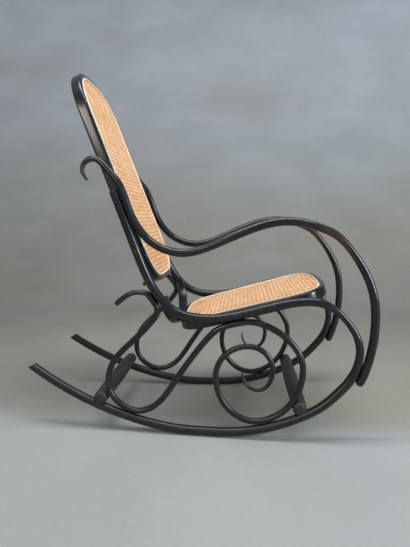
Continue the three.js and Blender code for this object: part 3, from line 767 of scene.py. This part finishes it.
# Lines origin + t direction, cut by the half plane of each edge of a convex outline
def clipLines(outline, origins, direction, tiny=1e-12):
    edge = np.roll(outline, -1, 0) - outline
    normal = stacked(-edge[:, 1], edge[:, 0])
    normal *= np.sign(((outline.mean(0) - outline) * normal).sum(-1))[:, None]
    base = ((origins[:, None] - outline[None]) * normal[None]).sum(-1)
    rate = normal @ direction
    rate = np.where(np.abs(rate) < tiny, tiny, rate)
    t = -base / rate
    return np.where(rate > 0, t, -np.inf).max(1), np.where(rate < 0, t, np.inf).min(1)


# A strand's phase at a share u of the pitch from the middle of a pair that it crosses: it turns by
# pi between the pair's two strands and by pi between pairs. A straight strand rises by its sine,
# -1 at the pair's first strand and 1 at its second. A slanting one rises or dips by its cosine's
# size, which is 0 where it slips between two strands.
def phase(u):
    d = caneSizes["pairShare"]
    u = (u + 0.5) % 1 - 0.5
    within = np.clip(u, -d, d)
    return pi * within / (2 * d) + pi * (u - within) / (1 - 2 * d)


# One direction of the weave as a mesh: every strand is a flat ribbon, four points at each sample
# (wide below, narrow above), with its middle at height + rise(t) x lift. Painted shade makes it
# browner below, where it dips, and, by gapShade, in the middle between two pairs.
def strands(outline, direction, offsets, rise, gapShade, height, seed):
    size = caneSizes
    pitch, d = size["pitch"], size["pairShare"]
    direction = np.array(direction, float)
    speed = np.linalg.norm(direction)
    across = np.array([-direction[1], direction[0]]) / speed
    # the origins lie on the axis that the strands cross
    origins = offsets[:, None] * ([1.0, 0.0] if direction[1] else [0.0, 1.0])
    main = 1 if direction[0] == 0 else 0
    first, last = clipLines(outline, origins, direction)
    between = (0.5 + d) / 2
    stops = np.array([-d, 0, d, between, 0.5, 1 - between])
    samples, owners = [], []
    for k in np.flatnonzero((last - first) * speed > size["shortest"]):
        start = origins[k][main]
        lowest, highest = (start + first[k]) / pitch, (start + last[k]) / pitch
        cells = np.arange(int(lowest // 1) - 1, ceil(highest) + 2)
        t = ((cells[:, None] + stops[None]) * pitch).ravel() - start
        t = t[(t > first[k] + size["endGap"]) & (t < last[k] - size["endGap"])]
        samples.append(joined([[first[k]], t, [last[k]]]))
        owners.append(np.full(len(samples[-1]), k))
    t, owner = joined(samples), joined(owners)
    spot = origins[owner] + t[:, None] * direction
    risen = rise(spot[:, main] / pitch, owner)
    lift = height + size["lift"] * risen
    wide, narrow, high = size["width"] / 2, size["crown"] / 2, size["thickness"] / 2
    corners = np.array([[-wide, -high], [wide, -high], [narrow, high], [-narrow, high]])
    flat = spot[:, None] + across * corners[None, :, :1]
    points = joined([flat, (lift[:, None] + corners[None, :, 1])[..., None]], -1)
    same = owner[1:] == owner[:-1]
    here, c, n = np.flatnonzero(same)[:, None] * 4, np.arange(4), np.roll(np.arange(4), -1)
    quads = stacked(here + c, here + n, here + 4 + n, here + 4 + c).reshape(-1, 4)
    breaks = np.flatnonzero(~same)
    starts = joined([[0], breaks + 1])[:, None] * 4
    ends = joined([breaks, [len(owner) - 1]])[:, None] * 4
    caps = np.vstack([starts + [3, 2, 1, 0], ends + [0, 1, 2, 3]])
    tone = np.random.default_rng(seed).random(len(offsets))[owner]
    shift = np.random.default_rng(seed + 1).random(len(offsets))[owner] * 10
    fibre = stacked((t * speed + shift)[:, None], corners[:, 0], shift[:, None]).reshape(-1, 3)
    # painted shade: darker on the ribbon's lower corners, where it dips, and in the gaps between
    # pairs
    gap = 0.5 - 0.5 * np.cos(2 * pi * spot[:, main] / pitch)
    paintedShade = 0.35 * (0.5 - 0.5 * risen) ** 1.5 + gapShade * gap**2
    shade = 0.5 * (corners[None, :, 1] < 0) + paintedShade[:, None]
    layers = {"fibre": fibre, "tone": np.repeat(tone, 4), "shade": shade.ravel()}
    return points.reshape(-1, 3), [quads, caps], layers


# The six-way weave: pairs across and pairs lengthwise cross over and under in turn, and two
# slanting sets slip between them through the pair crossings. Its lines are counted well past the
# outline, because the slanting ones start beside it.
def addWeave(node, loop, height, toPlace, seed, beyond=2.2):
    pitch = caneSizes["pitch"]
    inward = hoopSizes["thickness"] - hoopSizes["rebateWidth"] + caneSizes["hidden"]
    outline = loop[0] - loop[1] * inward
    count = ceil(np.abs(outline).max() * beyond / pitch)
    pairs = np.arange(-count, count + 1)
    signs = np.tile([-1.0, 1.0], len(pairs))
    offsets = np.repeat(pairs, 2) * pitch + signs * caneSizes["pairShare"] * pitch
    slant = pairs * pitch
    sets = {
        "Lengthwise": ((0, 1), offsets, lambda u, k: signs[k] * np.sin(phase(u)), 0.5),
        "Crosswise": ((1, 0), offsets, lambda u, k: -signs[k] * np.sin(phase(u)), 0.1),
        "SlantLeft": ((1, 1), slant, lambda u, k: -0.5 * abs(np.cos(phase(u))), 0.5),
        "SlantRight": ((1, -1), slant, lambda u, k: 0.5 * abs(np.cos(phase(u))), 0.5),
    }
    for i, (key, strandSet) in enumerate(sets.items()):
        points, faces, layers = strands(outline, *strandSet, height, seed + 2 * i)
        addPiece(node, "cane", toPlace(points), faces, layers, 180, key)


# A hoop, worn along its upper outer edge, with its cane and its spline
def addPanel(prefix, corners, height, toPlace, seed):
    size = hoopSizes
    loop = eased(roundedLoop(corners))
    grid, grain = carried(loop, hoopSection(height))
    outer = np.clip(1 - grain[..., 1] / size["round"], 0, 1)
    wear = 0.14 + 0.3 * np.clip(grain[..., 2] / height * 2 - 1, 0, 1) * outer
    layers = {"grain": grain, "wear": wear}
    addSkin(prefix + "_hoop", "lacquer", toPlace(grid), layers, closed=True)
    edge = size["thickness"] - size["rebateWidth"] + clearance
    floor = height - size["rebateDepth"] + clearance
    addWeave(prefix + "_cane", loop, floor + size["caneThickness"] / 2, toPlace, seed)
    bottom, top = floor + size["caneThickness"] + clearance, height + size["splineCrown"]
    below, above = size["splineRounds"]
    far = edge + size["splineWidth"]
    section = [[edge, bottom, below], [edge, top, above], [far, top, above], [far, bottom, below]]
    grid, grain = carried(loop, roundedLoop(section, radians(18), 0.003))
    addSkin(prefix + "_spline", "reed", toPlace(grid), {"grain": grain}, closed=True)


addPanel("seat", seatCorners(), seatSizes["height"], seatToChair, 11)
addPanel("back", backCorners(), backSizes["height"], backToChair, 31)
print("seat and back made")


# The bow behind the seat: a strap bent to half an ellipse
bowSizes = {"width": 0.03, "thickness": 0.012, "rise": 0.106, "lift": 0.004, "round": 0.004}


# The strap's middle line is (half cos a, rise sin a) over the lower half turn; its section stands
# square to it and is drawn in towards the rear as the side planes are.
def addBow():
    size = bowSizes
    rise, thick, wide = size["rise"], size["thickness"] / 2, size["width"] / 2
    middle, trough = seatBehind + clearance + wide, size["lift"] + thick
    half = seatHalf(middle, trough + rise) - thick
    signs = ((-1, -1), (1, -1), (1, 1), (-1, 1))
    corners = [[x * thick, y * wide, size["round"]] for x, y in signs]
    section = roundedLoop(corners, radians(15), 0.006)
    outwards, rearwards = section[None, :, 0], section[None, :, 1]
    a = np.linspace(pi, 2 * pi, 97)[:, None]
    out = unit(joined([np.cos(a) * rise, np.sin(a) * half], 1))
    x, z = half * np.cos(a), trough + rise + rise * np.sin(a)
    narrowing = seatHalf(middle + rearwards, z) / seatHalf(middle, z)
    px, pz = (x + outwards * out[:, :1]) * narrowing, z + outwards * out[:, 1:]
    along = lengthAlong(joined([x, z], 1))[:, None]
    layers = {"grain": stacked(along, outwards, rearwards), "wear": np.full(px.shape, 0.2)}
    addSkin("seat_bow", "lacquer", seatToChair(stacked(px, middle + rearwards, pz)), layers)


# Stretcher: radius(s) = foot + (middle - foot) (1 - (2 s - 1) squared) along its body, and a nose
# whose radius is foot x sqrt(1 - blunt t squared), t from 0 at the body to 1 at its flat end
def addStretcher(key, sides=48):
    size, foot = stretcher, stretcher["footRadius"]
    centre = stretcherCentres[key]
    half = frontSpan / 2 - centre[0] * sin(splay) + size["overhang"]
    reach = size["noseShare"] * foot
    s = np.linspace(0, 1, 61)
    body = foot + (size["middleRadius"] - foot) * (1 - (2 * s - 1) ** 2)
    t = np.linspace(1, 0, 13)[:-1]
    nose = foot * np.sqrt(1 - size["blunt"] * t**2)
    noseX = -half + reach * (1 - t)
    radius = joined([nose, body, nose[::-1]])[:, None]
    x = joined([noseX, (s - 0.5) * 2 * (half - reach), -noseX[::-1]])[:, None]
    a = np.arange(sides) / sides * 2 * pi
    grain = stacked(x, radius * np.cos(a), radius * np.sin(a))
    # ends: 1 at the bar's ends, for rubbing wear there and for the painted shade there
    ends = np.clip(1 - (1 - np.abs(grain[..., 0]) / half) / size["darkShare"], 0, 1)
    layers = {"grain": grain, "wear": 0.1 + 0.15 * ends, "ends": ends}
    grid = grain + [0, centre[0] * cos(splay) + shiftY, centre[1] + shiftZ]
    addSkin(key + "_stretcher", "stain", grid, layers, smoothBelow=50)


addBow()
addStretcher("front")
addStretcher("rear")
print("bow and stretchers made")


# Fasteners: head radius, shank radius, sunk depth, length beyond the first piece
fastenerSizes = {
    "wood": (0.0036, 0.0018, 0.0022, 0.016),
    "stout": (0.0044, 0.0023, 0.0026, 0.017),
    "bow": (0.0036, 0.0018, 0.0022, 0.009),
    "hoop": (0.004, 0.002, 0.0024, 0.015),
    "bolt": (0.0055, 0.0028, 0.003, 0),
}
headSizes = {"dome": 0.0007, "slotHalf": 0.00045, "slotDepth": 0.0009, "edge": 0.00008}
nutSizes = {"radius": 0.0056, "height": 0.0045, "boltEnd": 0.0025, "bevel": 0.0008, "play": 0.0003}


# Turned about z, point down: dome (1 - (r / head) squared) over the head, a cone to the shank, a
# straight shank and a cone to the point. The slot's floor is one depth below the rim, and its
# walls are two columns of points at the angle asin(slot half width / r).
def screwGrid(kind, through):
    head, shank, sink, bite = fastenerSizes[kind]
    length = through + bite
    tip, taper = (0.0003, 2 * shank) if bite else (shank * 0.7, 0.0006)
    top = np.linspace(0.2, 1, 7) * head
    radius = joined([top, [shank, shank, tip]])
    dome = headSizes["dome"] * (1 - (top / head) ** 2)
    z = joined([dome, [-sink, taper - length, -length]])
    slotHalf, edge = headSizes["slotHalf"], headSizes["edge"]
    inner = np.arcsin(np.clip((slotHalf - edge) / radius, -1, 0.9))[:, None]
    outer = np.arcsin(np.clip((slotHalf + edge) / radius, -1, 0.95))[:, None]
    free = np.linspace(0, 1, 10)[None, 1:]
    half = [-inner, 0 * inner, inner, outer, outer + (pi - 2 * outer) * free]
    half = joined(half, 1)
    angle = joined([half, half + pi], 1)
    slot = np.zeros(angle.shape, bool)
    slot[: len(top), np.arange(angle.shape[1]) % half.shape[1] < 3] = True
    z = np.where(slot, -headSizes["slotDepth"], z[:, None])
    return stacked(radius[:, None] * np.cos(angle), radius[:, None] * np.sin(angle), z)


# Local points turned so that -z lies along a direction, and moved to a point
def driven(points, at, direction, spin):
    aim = Vector(direction).normalized().to_track_quat("-Z", "Y").to_matrix()
    return points @ np.array(aim @ Matrix.Rotation(spin, 3, "Z")).T + np.array(at)


spins = np.random.default_rng(5)


def addScrew(node, kind, through, at, direction):
    grid = driven(screwGrid(kind, through), at, direction, spins.uniform(0, pi))
    addSkin(node, "steel", grid, smoothBelow=35)


# Nut: hexagon radius apothem / cos(angle from the flat's middle), cut down to a circle near its
# two faces, round a plain bore; the rings go once round the wall of the nut
def addNut(node, at, direction, sides=48):
    high, small = nutSizes["height"], nutSizes["bevel"]
    bore = fastenerSizes["bolt"][1] + nutSizes["play"]
    flat = nutSizes["radius"] * cos(pi / 6)
    a = np.arange(sides) / sides * 2 * pi
    hexagon = flat / np.cos((a + pi / 6) % (pi / 3) - pi / 6)
    face = np.minimum(hexagon, flat)
    rows = [(bore, 0), (face, 0), (hexagon, small)]
    rows += [(r, high - z) for r, z in rows[::-1]]
    grid = [stacked(r * np.cos(a), r * np.sin(a), z) for r, z in rows]
    addSkin(node, "steel", driven(np.stack(grid), at, direction, 0.3), closed=True, smoothBelow=25)


def onSide(place):
    return course(sideRows, place)[0]


def onUpright(share, ahead=0.0, radius=None):
    up = share * backLength
    taper = 1 + (sideRod["topShare"] - 1) * up / sideRod["topLength"]
    return np.array([*onBack(up, ahead), downSlope, radius or rodSize * taper])


bolted = 2 * rodSize + hoopSizes["thickness"] + 4 * clearance
bolted += nutSizes["height"] + nutSizes["boltEnd"]
armTop, barEnd = armRod["topShare"] * armRod["radius"], stretcher["endRadius"]
sideFasteners = [
    # name, kind, row of the rod it starts in, face (1 left, -1 right, 0 the side plane's outer
    # face), thickness that it goes through
    ("rear_seat_bolt", "bolt", onSide(3.4), 0, bolted),
    ("front_seat_bolt", "bolt", onSide(4.66), 0, bolted),
    ("lower_back_screw", "hoop", onUpright(0.06), 0, 2 * rodSize),
    ("upper_back_screw", "hoop", onUpright(0.24), 0, 2 * rodSize),
    ("upper_arm_screw", "wood", onSide(7.3), 1, 2 * rodSize),
    ("lower_arm_screw", "wood", onSide(7.72), 1, 2 * rodSize),
    ("upright_screw", "wood", onUpright(0.262, armTouch, armTop), -1, 2 * armTop),
]
for key in scrollRod["seats"]:
    sideFasteners.append((key + "_screw", "wood", scrollSeat(key)[0], 1, 2 * scrollRod["radius"]))
sideFasteners.append(("bow_screw", "bow", onSide(1.82), 0, 2 * rodSize))
for key, centre in stretcherCentres.items():
    row = np.array([*centre[:3], barEnd])
    sideFasteners.append((key + "_stretcher_screw", "stout", row, 1, 2 * barEnd))

for side, label in sideNames.items():
    for name, kind, row, face, through in sideFasteners:
        head, foot = (aside(row[None], sign * row[3])[0, :2] for sign in (face, -face))
        at = toChair(side, 0.0 if face else row[3], *head)
        direction = toChair(side, 0.0 if face else -1.0, *(foot - head)) - toChair(side, 0, 0, 0)
        addScrew(f"{label}_{name}", kind, through, at, direction)
        if kind == "bolt":
            nutAt = at + direction * (through - nutSizes["boltEnd"])
            addNut(f"{label}_{name}".replace("bolt", "nut"), nutAt, direction)
bowFace = seatBehind + clearance + bowSizes["width"]
bowMiddle = bowSizes["lift"] + bowSizes["thickness"] / 2
at, aim = seatToChair(np.array([[0, bowFace, bowMiddle], [0, bowFace - 1, bowMiddle]]))
addScrew("bow_seat_screw", "wood", bowSizes["width"], at, aim - at)
print("fasteners made")


# Floor, backdrop, light and camera
stageLook = {
    "floor": screen(168, 171, 171),
    "paper": screen(154, 154, 148),
    # the backdrop's colour above, lighter as painted light on its upper part
    "paperPaintedLitAbove": screen(184, 191, 201),
    "glow": screen(50, 54, 61),  # added where the camera sees it
    "farGlow": screen(118, 123, 128),
    "drift": screen(150, 138, 112),
    "stains": screen(96, 92, 84),
    # painted shade: the floor is darker in front, below frontWindow
    "paintedShadeUnderLamp": screen(92, 95, 97),  # in front, below frontWindow
    "sky": screen(146, 152, 158),  # the world behind the floor's far edge
    "worldLight": (0.186, 0.192, 0.2),
    "paperEdge": -0.19,  # x where the backdrop's paper begins on the floor
    "wall": 2.6,
    "height": 4.0,
    "cove": 1.1,
    "halfWidth": 14.0,
    "paperSunk": 0.0004,  # below the runners
    "floorSunk": 0.0012,
}


# 1 for what the camera sees, straight or in a glossy surface
def seenBy(wire):
    straight = wire.node("ShaderNodeLightPath", output="Is Camera Ray")
    return straight + wire.node("ShaderNodeLightPath", output="Is Glossy Ray")


# A painter for the floor or the backdrop, from its colour at the floor to its colour above; the
# backdrop's colour above is lighter, as painted light. Far from the chair, where the lamps don't
# reach, the floor glows as the backdrop does.
def stagePainter(first, above, warmth):
    def paint(wire):
        look, place = stageLook, wire.place()
        high, edge = place.part(2), look["paperEdge"]
        # painted light: the backdrop turns lighter towards the top
        colour = wire.mix(high.between(-0.1, 2.6), first, above)
        drift = place.stretched(1, 0.6, 1).noise(1.1, 3).between(0.4, 0.65) * warmth
        colour = wire.mix(drift, colour, look["drift"])
        onPaper = (place.part(0) - place.noise(2.2) * 0.3).between(edge - 0.13, edge + 0.02)
        colour = wire.mix(onPaper, look["floor"], colour)
        clouds = place.stretched(1, 1.6, 3).noise(1.5, 5).between(0.3, 0.7)
        mottle = place.stretched(1, 1, 0.4).noise(60.0, 4)
        colour = wire.mix(clouds * 0.15 + mottle * 0.14, colour, look["stains"])
        # painted shade on the floor in front, below frontWindow
        colour = wire.mix(1 - place.part(1).between(-3.2, -2.0), colour, look["paintedShadeUnderLamp"])
        glow = wire.mix(high.between(-0.2, 1.6), (0, 0, 0), look["glow"])
        far = place.node("ShaderNodeVectorMath", {0: place}, "Value", operation="LENGTH")
        glow = wire.mix(far.between(2.4, 8.0), glow, look["farGlow"])
        return {"Base Color": colour, "Emission Color": wire.mix(seenBy(wire), (0, 0, 0), glow)}

    return paint


# A stage piece is a profile of x and z carried straight across the room
def addStage(name, x, z, painter):
    reach = stageLook["halfWidth"]
    points = stacked(np.repeat(x, 2), np.tile([-reach, reach], len(x)), np.repeat(z, 2))
    quads = np.arange(len(x) - 1)[:, None] * 2 + np.array([0, 1, 3, 2])
    piece = addMesh(name, points, [quads], smoothBelow=180)
    plain = {"Roughness": 0.9, "Emission Strength": 1.0}
    piece.data.materials.append(newMaterial(name + "Paint", painter, plain))


# The backdrop's profile: flat on the floor, a quarter round of the cove's radius, then upright
def addRoom():
    size = stageLook
    reach, wall, sunk = size["halfWidth"], size["wall"], -size["floorSunk"]
    painter = stagePainter(size["floor"], size["floor"], 0.1)
    addStage("floor", [-reach, reach], [sunk, sunk], painter)
    a = np.linspace(0, pi / 2, 25)
    x = joined([[size["paperEdge"]], wall - size["cove"] * (1 - np.sin(a)), [wall]])
    z = joined([[0], size["cove"] * (1 - np.cos(a)), [size["height"]]])
    painter = stagePainter(size["paper"], size["paperPaintedLitAbove"], 0.3)
    addStage("backdrop", x, z - size["paperSunk"], painter)


addRoom()

lampSizes = {
    # place, aim, width, height, watts, colour
    "overhead": ((-0.5, 0.0, 2.7), (0, 0, 0.4), 2.4, 0.8, 57, (0.96, 0.975, 1.0)),
    "frontWindow": ((-1.6, -3.5, 1.42), (0, 0, 0.5), 1.0, 1.7, 128, (0.84, 0.94, 1.0)),
    "cameraFill": ((-2.8, 1.65, 1.7), (0, 0, 0.6), 1.2, 0.6, 27, (1.0, 0.93, 0.78)),
}
cameraSizes = {
    "place": (-1.47, -0.1346, 0.6365),
    "yaw": radians(4.5),  # towards the rear
    "pitch": radians(7.28),  # down
    "focal": 460.0,  # in pixels of the photograph's frame
    "frame": (410, 547),
    "clip": (0.01, 50),
}


# A lamp or camera at a place, looking along a direction
def addAimed(name, data, place, direction):
    thing = bpy.data.objects.new(name, data)
    thing.location = place
    thing.rotation_mode = "QUATERNION"
    thing.rotation_quaternion = Vector(direction).to_track_quat("-Z", "Y")
    bpy.context.scene.collection.objects.link(thing)
    return thing


for name, (place, aim, width, height, watts, colour) in lampSizes.items():
    lamp = bpy.data.lights.new(name, "AREA")
    lamp.shape, lamp.size, lamp.size_y = "RECTANGLE", width, height
    lamp.energy, lamp.color = watts, colour
    addAimed(name, lamp, place, Vector(aim) - Vector(place))

world = bpy.data.worlds.new("studio")
bpy.context.scene.world = world
world.use_nodes = True
tree = world.node_tree
wire = Wire(tree)
sky = wire.mix(seenBy(wire), stageLook["worldLight"], stageLook["sky"])
tree.links.new(sky.socket, tree.nodes["Background"].inputs["Color"])

camera = bpy.data.cameras.new("view")
camera.lens = cameraSizes["focal"] / max(cameraSizes["frame"]) * camera.sensor_width
camera.clip_start, camera.clip_end = cameraSizes["clip"]
yaw, pitch = cameraSizes["yaw"], cameraSizes["pitch"]
forward = (cos(pitch) * cos(yaw), cos(pitch) * sin(yaw), -sin(pitch))
bpy.context.scene.camera = addAimed("view", camera, cameraSizes["place"], forward)
bpy.context.scene.view_settings.view_transform = "Standard"
print("stage, lamps and camera made")
